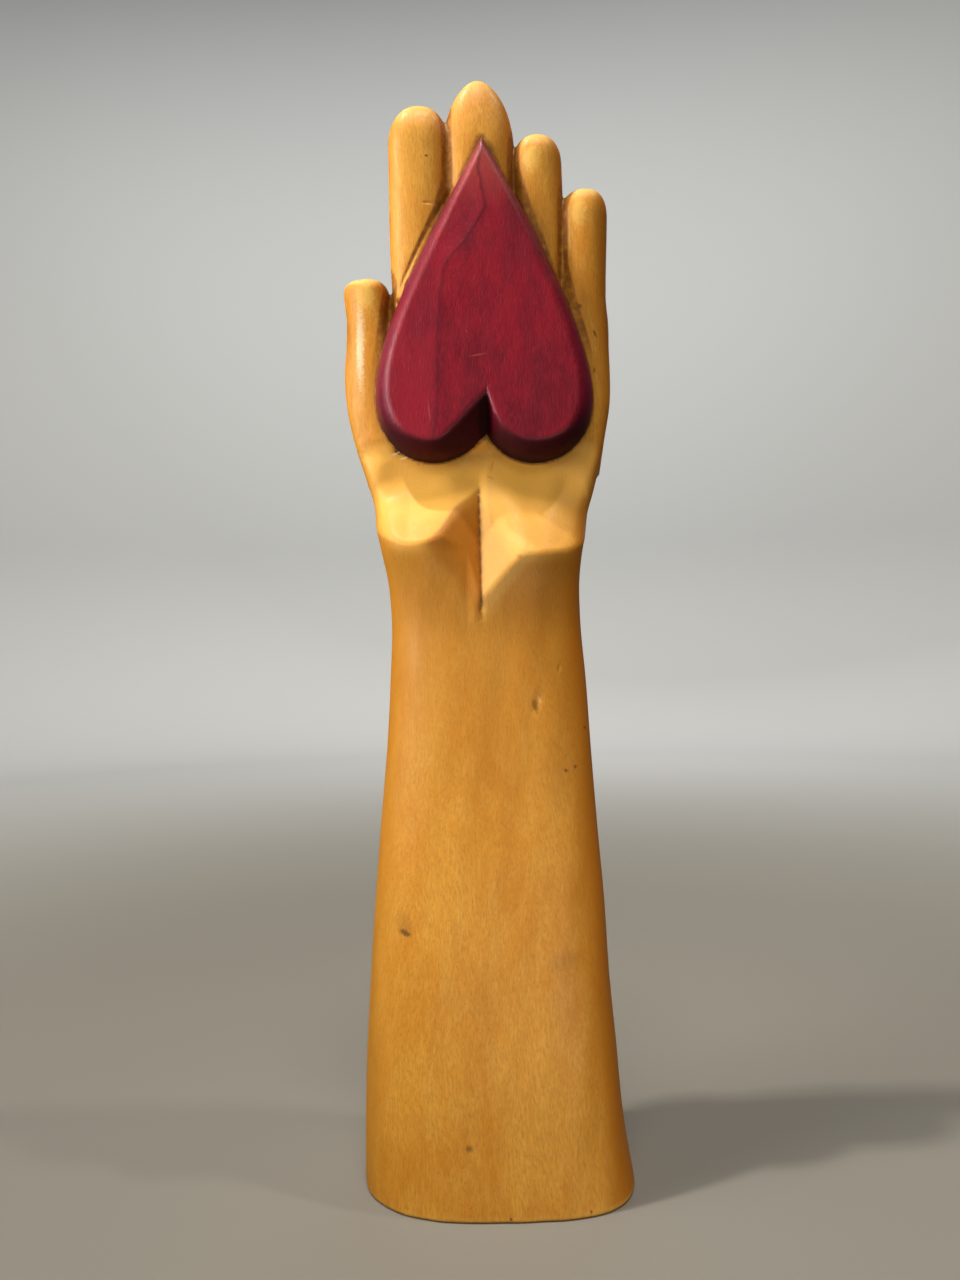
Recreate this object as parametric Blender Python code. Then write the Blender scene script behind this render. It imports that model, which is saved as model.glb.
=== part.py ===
"""A carved wooden votive arm: a left hand, palm forward, that holds an inverted heart.

The arm stands upright on its sawn underside. The origin is in the middle of that underside,
+Z is up, the palm faces -Y and the thumb is on the -X side. Everything is in metres.
It is one block of wood: forearm, wrist, palm, five fingers and the heart are carved together.
"""

import math

import bmesh
import bpy
import numpy as np
from mathutils import Matrix, Vector

NAME = "carved_arm"

# Overall sizes
HEIGHT = 0.3725
BASE_WIDTH = 0.0866
BASE_DEPTH = 0.064
BACK = BASE_DEPTH / 2
HAND_THICKNESS = 0.016
PALM_FRONT = BACK - 0.0170
HEART_FRONT_AT_LOBES = BACK - 0.0310
HEART_FRONT_AT_APEX = BACK - 0.0200

# Forearm and palm, from the underside up: height, left, right, front, back, squareness
BASE_SECTION = (0.000, -BASE_WIDTH / 2, BASE_WIDTH / 2, -BACK, BACK, 2.6)
FOREARM_SECTIONS = (
    (0.014, -0.0434, 0.0413, -0.0305, BACK, 2.6),
    (0.048, -0.0420, 0.0385, -0.0265, 0.0316, 2.6),
    (0.090, -0.0390, 0.0365, -0.0200, 0.0312, 2.5),
    (0.130, -0.0356, 0.0343, -0.0130, 0.0308, 2.4),
    (0.162, -0.0332, 0.0330, -0.0080, 0.0306, 2.35),
)
WRIST_SECTION = (0.182, -0.0326, 0.0321, -0.0060, 0.0306, 2.35)
HEEL_SECTIONS = (
    (0.195, -0.0335, 0.0320, -0.0070, 0.0309, 2.5),
    (0.205, -0.0352, 0.0327, -0.0085, 0.0313, 2.7),
    (0.216, -0.0371, 0.0354, -0.0070, 0.0316, 2.8),
)
PALM_SECTIONS = (
    (0.229, -0.0402, 0.0392, 0.0040, 0.0318, 3.0),
    (0.242, -0.0445, 0.0425, 0.0130, 0.0318, 3.2),
    (0.256, -0.0476, 0.0452, PALM_FRONT, 0.0318, 3.4),
    (0.276, -0.0476, 0.0450, PALM_FRONT + 0.0010, 0.0318, 3.2),
    (0.290, -0.0430, 0.0440, PALM_FRONT + 0.0038, 0.0310, 3.0),
    (0.302, -0.0290, 0.0430, PALM_FRONT + 0.0058, 0.0290, 3.0),
    (0.322, -0.0280, 0.0400, PALM_FRONT + 0.0070, 0.0268, 3.0),
)
ARM_SIDES = 52
ARM_RINGS = 34

# Fingers: root height, tip height, centre and half width at the root, the same at the tip,
# height of the rounded tip, and how pointed it is (2 is an ellipse)
FINGERS = {
    "thumb": (0.236, 0.3022, -0.0345, 0.0083, -0.0404, 0.0082, 0.0060, 2.6),
    "index": (0.250, 0.3638, -0.0200, 0.0112, -0.0205, 0.0110, 0.0125, 2.2),
    "middle": (0.270, HEIGHT, 0.0015, 0.0128, 0.0006, 0.0126, 0.0240, 1.8),
    "ring": (0.260, 0.3523, 0.0218, 0.0092, 0.0214, 0.0087, 0.0120, 2.1),
    "little": (0.240, 0.3326, 0.0350, 0.0086, 0.0376, 0.0084, 0.0120, 2.2),
}
FINGER_MIDDLE = BACK - HAND_THICKNESS / 2
FINGER_SQUARENESS = 2.4
FINGER_SIDES = 22
FINGER_RINGS = 7
TIP_RINGS = 5
TIP_FLAT = 0.004
# A finger starts thin inside the palm and has its full thickness this share of the way up
ROOT_SHARE = 0.55
ROOT_LENGTH = 0.55

# Heart outline where it meets the palm, from the apex down the thumb side and back up: each
# corner or turning point is followed by the two handles of the curve to the next one
HEART_APEX = (0.0017, 0.3481)
HEART_WIDEST_LEFT = (-0.0368, 0.2590)
HEART_LOBE_LEFT = (-0.0170, 0.2358)
HEART_CLEFT = (0.0014, 0.2440)
HEART_LOBE_RIGHT = (0.0180, 0.2350)
HEART_WIDEST_RIGHT = (0.0385, 0.2570)
HEART_OUTLINE = (
    (HEART_APEX, (-0.0222, 0.3060), (-0.0368, 0.2790)),
    (HEART_WIDEST_LEFT, (-0.0368, 0.2440), (-0.0275, 0.2358)),
    (HEART_LOBE_LEFT, (-0.0095, 0.2358), (-0.0040, 0.2400)),
    (HEART_CLEFT, (0.0050, 0.2400), (0.0100, 0.2350)),
    (HEART_LOBE_RIGHT, (0.0290, 0.2350), (0.0385, 0.2440)),
    (HEART_WIDEST_RIGHT, (0.0385, 0.2740), (0.0240, 0.3100)),
)
POINTS_PER_CURVE = 10
HEART_ROOT = BACK - 0.0085
HEART_BEVEL_PER_HEIGHT = 0.48
HEART_BEVEL_STEPS = 4
SHARPEST_CORNER = 0.35

# The hollow of the palm: the lower part of a ball, pressed in between heart and heel
HOLLOW_CENTRE = (-0.0005, -0.0390, 0.2495)
HOLLOW_RADII = (0.0680, 0.0557, 0.0557)
HOLLOW_SEGMENTS = 40

# The V cut between the two pads of the heel of the hand
CUT_LOW = (-0.0017, -0.0072, 0.1840)
CUT_HIGH = (-0.0019, 0.0110, 0.2245)
CUT_HALF_ANGLE = math.radians(57)
CUT_LENGTH = 0.060
CUT_SIZE = 0.040

WOOD_COLOUR = (0.62, 0.33, 0.07, 1.0)
WOOD_ROUGHNESS = 0.38
STAIN_COLOUR = (0.22, 0.008, 0.03, 1.0)
STAIN_ROUGHNESS = 0.30
SHARP_ANGLE = math.radians(35)


def clear_scene():
    for old in list(bpy.data.objects):
        bpy.data.objects.remove(old, do_unlink=True)


def new_collection(name, helpers=False):
    collection = bpy.data.collections.new(name)
    bpy.context.scene.collection.children.link(collection)
    collection.hide_render = helpers
    return collection


def new_material(name, colour, roughness):
    material = bpy.data.materials.new(name)
    material.use_nodes = True
    shader = material.node_tree.nodes["Principled BSDF"]
    shader.inputs["Base Color"].default_value = colour
    shader.inputs["Roughness"].default_value = roughness
    shader.inputs["Metallic"].default_value = 0.0
    return material


def new_object(name, bm, collection, helper=True):
    """Makes an object of the bmesh, with its faces outwards; a helper is drawn as a wire only."""
    bmesh.ops.recalc_face_normals(bm, faces=bm.faces)
    mesh = bpy.data.meshes.new(name)
    bm.to_mesh(mesh)
    bm.free()
    obj = bpy.data.objects.new(name, mesh)
    collection.objects.link(obj)
    obj.hide_render = helper
    if helper:
        obj.display_type = "WIRE"
    return obj


def smooth_through(stations, height):
    """The values of the stations at a height, on smooth curves through all of them."""
    table = np.array(stations)
    heights, values = table[:, 0], table[:, 1:]
    slopes = np.gradient(values, heights, axis=0)
    low = int(np.clip(np.searchsorted(heights, height) - 1, 0, len(heights) - 2))
    span = heights[low + 1] - heights[low]
    t = (height - heights[low]) / span
    rise = (3 - 2 * t) * t * t
    return (
        values[low] * (1 - rise)
        + values[low + 1] * rise
        + slopes[low] * span * t * (1 - t) ** 2
        - slopes[low + 1] * span * t * t * (1 - t)
    )


def rounded_section(left, right, front, back, squareness, height, sides):
    """A ring of points on a superellipse that just fits the four given edges."""
    points = []
    for step in range(sides):
        angle = 2 * math.pi * (step + 0.5) / sides
        across = math.copysign(abs(math.cos(angle)) ** (2 / squareness), math.cos(angle))
        along = math.copysign(abs(math.sin(angle)) ** (2 / squareness), math.sin(angle))
        x = (left + right) / 2 + (right - left) / 2 * across
        y = (front + back) / 2 + (back - front) / 2 * along
        points.append(Vector((x, y, height)))
    return points


def loft(rings):
    """A closed mesh over rings that all have the same number of points."""
    bm = bmesh.new()
    rows = [[bm.verts.new(point) for point in ring] for ring in rings]
    for below, above in zip(rows, rows[1:]):
        for i in range(len(below)):
            j = (i + 1) % len(below)
            bm.faces.new((below[i], below[j], above[j], above[i]))
    bm.faces.new(rows[0])
    bm.faces.new(rows[-1])
    return bm


def arm_rings():
    """Sections from the underside to behind the fingers, closer together in the hand."""
    stations = (BASE_SECTION, *FOREARM_SECTIONS, WRIST_SECTION, *HEEL_SECTIONS, *PALM_SECTIONS)
    top = stations[-1][0]
    rings = []
    for step in range(ARM_RINGS):
        height = top * (step / (ARM_RINGS - 1)) ** 0.75
        rings.append(rounded_section(*smooth_through(stations, height), height, ARM_SIDES))
    return rings


def finger_rings(root, tip, root_centre, root_half, tip_centre, tip_half, dome, power):
    """A tapered column that ends in a dome: its width falls as a superellipse to the tip."""
    rings = []
    heights = [root + (tip - dome - root) * i / FINGER_RINGS for i in range(FINGER_RINGS)]
    heights += [tip - dome * (1 - math.sin(math.pi / 2 * i / TIP_RINGS)) for i in range(TIP_RINGS)]
    heights.append(tip - dome * TIP_FLAT)
    for height in heights:
        way = (height - root) / (tip - root)
        into_dome = max(0.0, 1 - (tip - height) / dome)
        shrink = (1 - into_dome**power) ** (1 / power)
        grown = ROOT_SHARE + (1 - ROOT_SHARE) * math.sin(math.pi / 2 * min(1, way / ROOT_LENGTH))
        centre = root_centre + (tip_centre - root_centre) * way
        half = (root_half + (tip_half - root_half) * way) * shrink * (1 + grown) / 2
        depth = HAND_THICKNESS / 2 * shrink * grown
        rings.append(
            rounded_section(
                centre - half,
                centre + half,
                FINGER_MIDDLE - depth,
                FINGER_MIDDLE + depth,
                FINGER_SQUARENESS,
                height,
                FINGER_SIDES,
            )
        )
    return rings


def bezier(start, first, second, end, t):
    weights = ((1 - t) ** 3, 3 * t * (1 - t) ** 2, 3 * t * t * (1 - t), t**3)
    corners = (start, first, second, end)
    return Vector([sum(w * c[axis] for w, c in zip(weights, corners)) for axis in (0, 1)])


def heart_outline():
    """Points round the heart, as (x, z), from the apex down the thumb side."""
    points = []
    for index, (start, first, second) in enumerate(HEART_OUTLINE):
        end = HEART_OUTLINE[(index + 1) % len(HEART_OUTLINE)][0]
        for step in range(POINTS_PER_CURVE):
            points.append(bezier(start, first, second, end, step / POINTS_PER_CURVE))
    return points


def heart_front(height):
    """Depth of the heart's flat face, which leans back from the lobes to the apex."""
    share = (height - HEART_LOBE_LEFT[1]) / (HEART_APEX[1] - HEART_LOBE_LEFT[1])
    return HEART_FRONT_AT_LOBES + (HEART_FRONT_AT_APEX - HEART_FRONT_AT_LOBES) * share


def inwards_of(points):
    """For each point, the step inwards that moves both of its sides in by one."""
    steps = []
    for i, point in enumerate(points):
        ahead = (points[(i + 1) % len(points)] - point).normalized()
        behind = (point - points[i - 1]).normalized()
        from_ahead = Vector((-ahead.y, ahead.x))
        halfway = (from_ahead + Vector((-behind.y, behind.x))).normalized()
        steps.append(halfway / max(SHARPEST_CORNER, halfway.dot(from_ahead)))
    return steps


def heart_rings():
    """The heart's outline from inside the hand to its face, moved in along a quarter round."""
    outline = heart_outline()
    rings = [[Vector((p.x, HEART_ROOT, p.y)) for p in outline]]
    for step in range(HEART_BEVEL_STEPS + 1):
        angle = math.pi / 2 * step / HEART_BEVEL_STEPS
        ring = []
        for point, inwards in zip(outline, inwards_of(outline)):
            rise = PALM_FRONT - heart_front(point.y)
            moved = point + inwards * rise * HEART_BEVEL_PER_HEIGHT * (1 - math.cos(angle))
            ring.append(Vector((moved.x, PALM_FRONT - rise * math.sin(angle), moved.y)))
        rings.append(ring)
    return rings


def hollow_ball():
    bm = bmesh.new()
    rows = HOLLOW_SEGMENTS // 2
    bmesh.ops.create_uvsphere(bm, u_segments=HOLLOW_SEGMENTS, v_segments=rows, radius=1)
    place = Matrix.Translation(HOLLOW_CENTRE) @ Matrix.Diagonal((*HOLLOW_RADII, 1))
    bmesh.ops.transform(bm, matrix=place, verts=bm.verts)
    return bm


def cut_prism():
    """A three sided prism with one edge on the line of the cut and its other two in front."""
    low, high = Vector(CUT_LOW), Vector(CUT_HIGH)
    way = (high - low).normalized()
    across = Vector((1, 0, 0))
    forward = way.cross(across).normalized()
    if forward.y > 0:
        forward = -forward
    side = math.sin(CUT_HALF_ANGLE) * CUT_SIZE
    ahead = math.cos(CUT_HALF_ANGLE) * CUT_SIZE
    corners = (Vector(), forward * ahead + across * side, forward * ahead - across * side)
    middle = (low + high) / 2
    ends = (middle - way * CUT_LENGTH / 2, middle + way * CUT_LENGTH / 2)
    return loft([[end + corner for corner in corners] for end in ends])


def add_boolean(target, other, operation):
    modifier = target.modifiers.new(f"{operation.lower()} {other.name}", "BOOLEAN")
    modifier.operation = operation
    modifier.solver = "EXACT"
    modifier.object = other


def main():
    clear_scene()
    arm_parts = new_collection(NAME)
    helpers = new_collection("joined_and_cut_shapes", helpers=True)
    arm = new_object(NAME, loft(arm_rings()), arm_parts, helper=False)
    arm.data.materials.append(new_material("varnished_wood", WOOD_COLOUR, WOOD_ROUGHNESS))
    for finger, sizes in FINGERS.items():
        add_boolean(arm, new_object(finger, loft(finger_rings(*sizes)), helpers), "UNION")
    add_boolean(arm, new_object("palm_hollow", hollow_ball(), helpers), "DIFFERENCE")
    add_boolean(arm, new_object("heel_cut", cut_prism(), helpers), "DIFFERENCE")
    heart = new_object("heart", loft(heart_rings()), helpers)
    heart.data.materials.append(new_material("red_stain", STAIN_COLOUR, STAIN_ROUGHNESS))
    add_boolean(arm, heart, "UNION")
    arm.data.shade_smooth()
    arm.data.set_sharp_from_angle(angle=SHARP_ANGLE)


main()
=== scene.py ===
"""The looks of a carved wooden votive arm: the fine carving, the varnished wood and the red heart.

The arm is one block of wood whose fingers, palm and heart run into each other, so no single grid
of two parameters wraps it. Its shape is a field instead: a number at every point of space, worked
out with whole arrays, that is below zero in the wood, above zero outside it, and near the surface
about the distance to it in metres. The surface where the field is zero becomes one closed mesh.
"""

import math

import bpy
import numpy as np
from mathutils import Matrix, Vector


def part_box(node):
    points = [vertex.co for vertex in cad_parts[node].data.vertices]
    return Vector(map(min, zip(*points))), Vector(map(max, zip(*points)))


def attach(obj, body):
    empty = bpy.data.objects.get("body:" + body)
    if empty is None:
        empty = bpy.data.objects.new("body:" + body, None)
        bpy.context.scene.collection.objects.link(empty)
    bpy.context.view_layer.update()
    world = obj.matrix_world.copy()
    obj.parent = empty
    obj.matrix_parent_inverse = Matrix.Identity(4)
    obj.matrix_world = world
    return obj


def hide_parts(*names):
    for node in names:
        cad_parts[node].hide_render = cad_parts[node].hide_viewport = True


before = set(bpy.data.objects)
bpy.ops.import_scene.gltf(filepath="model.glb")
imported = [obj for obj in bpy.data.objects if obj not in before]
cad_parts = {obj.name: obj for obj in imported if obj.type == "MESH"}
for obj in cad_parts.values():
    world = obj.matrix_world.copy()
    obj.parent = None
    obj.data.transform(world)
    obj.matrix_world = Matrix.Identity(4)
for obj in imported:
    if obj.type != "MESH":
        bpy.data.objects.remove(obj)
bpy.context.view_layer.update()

NODE = "carved_arm"
MM = 0.001

# Sizes shared with the solid
HEIGHT = 0.3725
BASE_WIDTH = 0.0866
BASE_DEPTH = 0.064
BACK = BASE_DEPTH / 2
HAND_THICKNESS = 0.016
PALM_FRONT = BACK - 0.0170
HEART_FRONT_AT_LOBES = BACK - 0.0310
HEART_FRONT_AT_APEX = BACK - 0.0200

# Forearm, wrist, heel and palm from the underside up:
# height, left, right, front, back, squareness of the section
ARM_SECTIONS = (
    (0.000, -BASE_WIDTH / 2, BASE_WIDTH / 2, -BACK, BACK, 2.6),
    (0.014, -0.0434, 0.0413, -0.0305, BACK, 2.6),
    (0.048, -0.0420, 0.0385, -0.0265, 0.0316, 2.6),
    (0.090, -0.0390, 0.0365, -0.0200, 0.0312, 2.5),
    (0.130, -0.0356, 0.0343, -0.0130, 0.0308, 2.4),
    (0.162, -0.0332, 0.0330, -0.0080, 0.0306, 2.35),
    (0.182, -0.0326, 0.0321, -0.0060, 0.0306, 2.35),
    (0.195, -0.0335, 0.0320, -0.0070, 0.0309, 2.5),
    (0.205, -0.0354, 0.0332, -0.0085, 0.0313, 2.7),
    (0.216, -0.0376, 0.0364, -0.0070, 0.0316, 2.8),
    (0.229, -0.0407, 0.0396, 0.0040, 0.0318, 3.0),
    (0.242, -0.0445, 0.0425, 0.0130, 0.0318, 3.2),
    (0.256, -0.0476, 0.0452, PALM_FRONT, 0.0318, 3.4),
    (0.276, -0.0476, 0.0450, PALM_FRONT + 0.0010, 0.0318, 3.2),
    (0.290, -0.0430, 0.0440, PALM_FRONT + 0.0038, 0.0310, 3.0),
    (0.302, -0.0235, 0.0370, PALM_FRONT + 0.0058, 0.0290, 3.0),
    (0.322, -0.0200, 0.0330, PALM_FRONT + 0.0070, 0.0268, 3.0),
)

# The forearm is squarer by this much on the little finger's side, fading out between two heights
RIGHT_SQUARENESS = 0.9
SQUARER_UP_TO, SQUARER_ENDS = 0.140, 0.185

# Root height, tip height, centre and half width at the root, the same at the tip,
# height of the rounded tip, and how pointed it is (2 is an ellipse)
FINGERS = {
    "thumb": (0.230, 0.3022, -0.0335, 0.0083, -0.0404, 0.0082, 0.0060, 2.6),
    "index": (0.250, 0.3638, -0.0200, 0.0112, -0.0205, 0.0110, 0.0145, 2.05),
    "middle": (0.270, HEIGHT, 0.0015, 0.0128, 0.0006, 0.0126, 0.0240, 1.8),
    "ring": (0.260, 0.3523, 0.0218, 0.0092, 0.0213, 0.0088, 0.0112, 2.45),
    "little": (0.232, 0.3326, 0.0342, 0.0086, 0.0376, 0.0085, 0.0112, 2.55),
}

# A finger starts with a share of its thickness at its root and is full after a share of its length
FINGER_MIDDLE = BACK - HAND_THICKNESS / 2
FINGER_SQUARENESS = 2.15
ROOT_SHARE = 0.55
ROOT_LENGTH = 0.55
FINGER_CREASE = 1.6 * MM
LOWEST_FINGER = 0.230
ROOT_BLEND = 3.0 * MM

# Heart outline on the palm, from the apex down the thumb side: each corner or turning point is
# followed by the two handles of the curve to the next one
HEART_APEX = (0.0017, 0.3481)
HEART_WIDEST_LEFT = (-0.0368, 0.2590)
HEART_LOBE_LEFT = (-0.0170, 0.2358)
HEART_CLEFT = (0.0014, 0.2440)
HEART_LOBE_RIGHT = (0.0180, 0.2350)
HEART_WIDEST_RIGHT = (0.0385, 0.2570)
HEART_OUTLINE = (
    (HEART_APEX, (-0.0222, 0.3060), (-0.0368, 0.2790)),
    (HEART_WIDEST_LEFT, (-0.0368, 0.2440), (-0.0275, 0.2358)),
    (HEART_LOBE_LEFT, (-0.0095, 0.2358), (-0.0040, 0.2400)),
    (HEART_CLEFT, (0.0050, 0.2400), (0.0100, 0.2350)),
    (HEART_LOBE_RIGHT, (0.0290, 0.2350), (0.0385, 0.2440)),
    (HEART_WIDEST_RIGHT, (0.0385, 0.2740), (0.0240, 0.3100)),
)
POINTS_PER_CURVE = 22
HEART_BEVEL_AT_LOBES = 0.46
HEART_BEVEL_AT_APEX = 0.90
BEVEL_POWER_AT_LOBES = 2.0
BEVEL_POWER_AT_APEX = 1.5
HEART_EDGE = 0.25 * MM

# The cut between the lobes: a V from the face down to the cleft, wide on the thumb side
CLEFT_MIDDLE = 0.0015
CLEFT_TOP = 0.2572
CLEFT_LEAN = 0.95
CLEFT_RISE_LEFT = 1.0
CLEFT_RISE_RIGHT = 3.0
CLEFT_EDGE = 1.6 * MM

# A seam down the heart's face, as (height, x): the face leans back a little on its thumb side
SEAM = ((0.236, -0.0172), (0.254, -0.0153), (0.2785, -0.0147), (0.292, -0.0134), (0.302, -0.0115),
        (0.310, -0.0046), (0.3215, 0.0024), (0.336, 0.0004), (0.3455, 0.0019))
SEAM_LEAN = 0.035

# The hollow of the palm: two ramps, one on each side of the V, that go back from the ridge of the
# heel up to the palm. Their feet follow the round front of the arm
RIDGE_LEFT = 0.2060
RIDGE_RIGHT = 0.2016
RIDGE_LEFT_END = -0.0250
RIDGE_LEFT_RISE = 0.40
RAMP_LEFT = 0.95
RAMP_RIGHT = 0.76
FRONT_MIDDLE = -0.0012
FRONT_HALF_WIDTH = 0.0385
FRONT_HALF_DEPTH = 0.0199
FRONT_CENTRE = 0.0114
FRONT_SQUARENESS = 2.4
PALM_FLOOR = PALM_FRONT + 0.0004
PALM_BLEND = 5.0 * MM
HOLLOW_CLEARANCE = 0.030
WIDEST_SHARE = 0.97

# Where the ridge and the ramps change from one side of the V to the other, and where the floor
# leaves the wood
RIDGE_STEP = (-0.012, 0.008)
RIDGE_BEND = 4.0 * MM
RAMP_STEP = (-0.003, 0.003)
CLEARED_HEIGHTS = (0.238, 0.262)

# How far the hollow's edge is rounded on the ridge and up the sides, and between which distances
# and heights that changes
RIDGE_EDGE = 1.2 * MM
HOLLOW_EDGE = 5.5 * MM
THUMB_SIDE = (0.018, 0.035)
LITTLE_SIDE = (0.014, 0.031)
SIDE_HEIGHTS = (0.206, 0.218)
BESIDE_CUT = (0.000, 0.003)
BESIDE_CUT_HEIGHTS = (0.203, 0.212)

# The V cut between the two pads of the heel: its bottom line leans back as it rises, and each
# wall comes forward by its rise for each step sideways
CUT_MIDDLE = -0.0018
CUT_FOOT = (-0.0072, 0.1853)
CUT_LEAN = 0.459
CUT_RISE_LEFT = 0.67
CUT_RISE_RIGHT = 0.59
CUT_TOP = 0.2330

# How far the V's edges are rounded: more on the thumb side, and there most at the bottom. The cut
# is worked out from a little below its foot
CUT_EDGE_LEFT_LOW = 8.0 * MM
CUT_EDGE_LEFT_HIGH = 2.5 * MM
CUT_EDGE_RIGHT = 1.0 * MM
CUT_TOP_EDGE = 3.0 * MM
CUT_TOP_BLEND = 3.0 * MM
CUT_EDGE_TURN = (0.203, 0.211)
CUT_EDGE_SPREAD = 5.0 * MM
BELOW_CUT = 10.0 * MM

# The lip of uncut wood along the heart and the knife's channel outside it, with the heights
# between which the channel starts and ends on each side. Marks fade out towards the back
LIP_WIDTH = 1.9 * MM
CHANNEL_WIDTH = 0.9 * MM
CHANNEL_DEPTH = 0.4 * MM
CHANNEL_STARTS_LEFT, CHANNEL_ENDS_LEFT = (0.286, 0.303), (0.327, 0.337)
CHANNEL_STARTS_RIGHT, CHANNEL_ENDS_RIGHT = (0.268, 0.276), (0.286, 0.294)
CHANNEL_SHARE_RIGHT = 0.6
MARKS_END, MARKS_FULL = 6.0 * MM, 10.0 * MM

# Cuts and dents in the front of the wood: x, height, half width, half height, depth,
# and how far the top leans towards +x
DENTS = {
    "gouge beside the index finger": (-0.0318, 0.2885, 0.0014, 0.0055, 0.0055, 0.05),
    "bite above it": (-0.0285, 0.2930, 0.0007, 0.0012, 0.0010, 0.0),
    "bite along the heart": (-0.0250, 0.2985, 0.0007, 0.0014, 0.0008, 0.3),
    "scar": (0.0155, 0.1530, 0.0013, 0.0034, 0.00035, 0.35),
    "nick": (0.0231, 0.1643, 0.0006, 0.0012, 0.00022, 0.3),
    "nick on the index finger": (-0.0175, 0.3265, 0.0016, 0.0004, 0.0003, 0.0),
    "chip at the foot of the V": (-0.0016, 0.1846, 0.0008, 0.0022, 0.0006, 0.0),
    "splinter hole": (-0.0292, 0.2402, 0.0016, 0.0010, 0.0012, -0.4),
}

# The unevenness left by the knife, the rounding of the sawn edge at the underside, and how far
# in front of the back the heart's prism ends, inside the palm
WAVE_HEIGHT = 0.09 * MM
SAWN_EDGE = 1.2 * MM
HEART_END = 8.0 * MM

# The grid's cell, how many of its layers are worked out at once, and the mesh's limit
CELL = 0.6 * MM
SLAB = 48
MOST_TRIANGLES = 190_000

# How far from the surface each value for the finish looks, and where the painted parts end
CREASE_REACH = 1.2 * MM
HOLLOW_REACH = 5.0 * MM
RIDGE_REACH = 2.5 * MM
HEART_REACH = 3.0 * MM
# The V's walls and the line along its bottom take painted shade, and its right wall painted light, this
# far out
CUT_REACH_LOW = 5.0 * MM
CUT_REACH_HIGH = 1.6 * MM
CUT_PAINT_TOP = 0.226
CUT_LINE_WIDTH = 0.55 * MM
CUT_LINE_FOOT, CUT_LINE_TOP = (0.183, 0.187), (0.2240, 0.2285)
# The hollow's floor takes painted light this far out and below these heights
SCOOP_REACH, SCOOP_FULL = 4.0 * MM, 0.3 * MM
SCOOP_TOP = (0.240, 0.262)


def smooth_through(stations, height):
    """The values of the stations at each height: between two stations a cubic curve, whose slope
    at each station is the weighted mean of the slopes to both neighbours."""
    table = np.array(stations)
    heights, values = table[:, 0], table[:, 1:]
    slopes = np.gradient(values, heights, axis=0)
    low = np.clip(np.searchsorted(heights, height) - 1, 0, len(heights) - 2)
    span = (heights[low + 1] - heights[low])[..., None]
    t = np.clip((height - heights[low])[..., None] / span, 0, 1)
    rise = (3 - 2 * t) * t * t
    found = (
        values[low] * (1 - rise)
        + values[low + 1] * rise
        + slopes[low] * span * t * (1 - t) ** 2
        - slopes[low + 1] * span * t * t * (1 - t)
    )
    return np.moveaxis(found, -1, 0)


def joined(a, b, blend):
    """The union of two fields: the smaller of them, less a fillet that is a quarter of the blend
    deep where they are equal and is gone where they differ by the blend."""
    share = np.clip(0.5 + 0.5 * (b - a) / blend, 0, 1)
    return b + (a - b) * share - blend * share * (1 - share)


def cut_by(a, b, edge):
    """Field a with the inside of field b taken away, its new edge rounded over the given width."""
    return -joined(-a, b, edge)


def superellipse(across, along, power, half_width, half_depth):
    """How many times its own size a superellipse must grow to reach each point, and that number's
    slope: the power root of the sum of the powers of both distances, each over its half size."""
    across, along = np.maximum(across, 1e-4), np.maximum(along, 1e-4)
    total = across**power + along**power
    reach = np.maximum(total ** (1 / power), 0.05)
    slope_x = (across / reach) ** (power - 1) / half_width
    slope_y = (along / reach) ** (power - 1) / half_depth
    return reach, slope_x, slope_y


def arm_field(x, y, z):
    """Forearm, wrist, heel and palm: the distance outside a superellipse whose four edges and
    squareness follow smooth curves up the arm."""
    left, right, front, back, power = smooth_through(ARM_SECTIONS, z)
    power = power + RIGHT_SQUARENESS * (x > (left + right) / 2) * ramp(-z, -SQUARER_ENDS, -SQUARER_UP_TO)
    half_width, half_depth = (right - left) / 2, (back - front) / 2
    across = np.abs(x - (left + right) / 2) / half_width
    along = np.abs(y - (front + back) / 2) / half_depth
    reach, slope_x, slope_y = superellipse(across, along, power, half_width, half_depth)
    side = (reach - 1) / np.hypot(slope_x, slope_y)
    return np.maximum(side, z - ARM_SECTIONS[-1][0])


def finger_field(x, y, z, root, tip, root_centre, root_half, tip_centre, tip_half, dome, power):
    """A tapered column with a superellipse for its section, closed by a dome: above the dome's
    foot, the power root of the section's reach and the height, each raised to the dome's power."""
    way = np.clip((z - root) / (tip - root), 0, 1)
    grown = ROOT_SHARE + (1 - ROOT_SHARE) * np.sin(np.pi / 2 * np.clip(way / ROOT_LENGTH, 0, 1))
    half = (root_half + (tip_half - root_half) * way) * (1 + grown) / 2
    depth = HAND_THICKNESS / 2 * grown
    across = np.abs(x - root_centre - (tip_centre - root_centre) * way) / half
    along = np.abs(y - FINGER_MIDDLE) / depth
    reach, slope_x, slope_y = superellipse(across, along, FINGER_SQUARENESS, half, depth)
    up = np.clip((z - tip + dome) / dome, 0, None)
    whole = (reach**power + up**power) ** (1 / power)
    side = (reach / whole) ** (power - 1)
    slope = np.sqrt((side * slope_x) ** 2 + (side * slope_y) ** 2
                    + ((up / whole) ** (power - 1) / dome) ** 2)
    return np.maximum((whole - 1) / slope, root - z)


def bezier(start, first, second, end, t):
    """Points on a cubic curve from start to end: each of the four corners weighs in by its
    Bernstein polynomial of t."""
    weights = np.stack([(1 - t) ** 3, 3 * t * (1 - t) ** 2, 3 * t * t * (1 - t), t**3])
    return np.einsum("ij,ik->jk", weights, np.array([start, first, second, end]))


def heart_outline():
    """Points round the heart, as (x, z), from the apex down the thumb side."""
    t = np.arange(POINTS_PER_CURVE) / POINTS_PER_CURVE
    ends = [curve[0] for curve in HEART_OUTLINE[1:]] + [HEART_APEX]
    curves = [bezier(*curve, end, t) for curve, end in zip(HEART_OUTLINE, ends)]
    return np.concatenate(curves)


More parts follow.
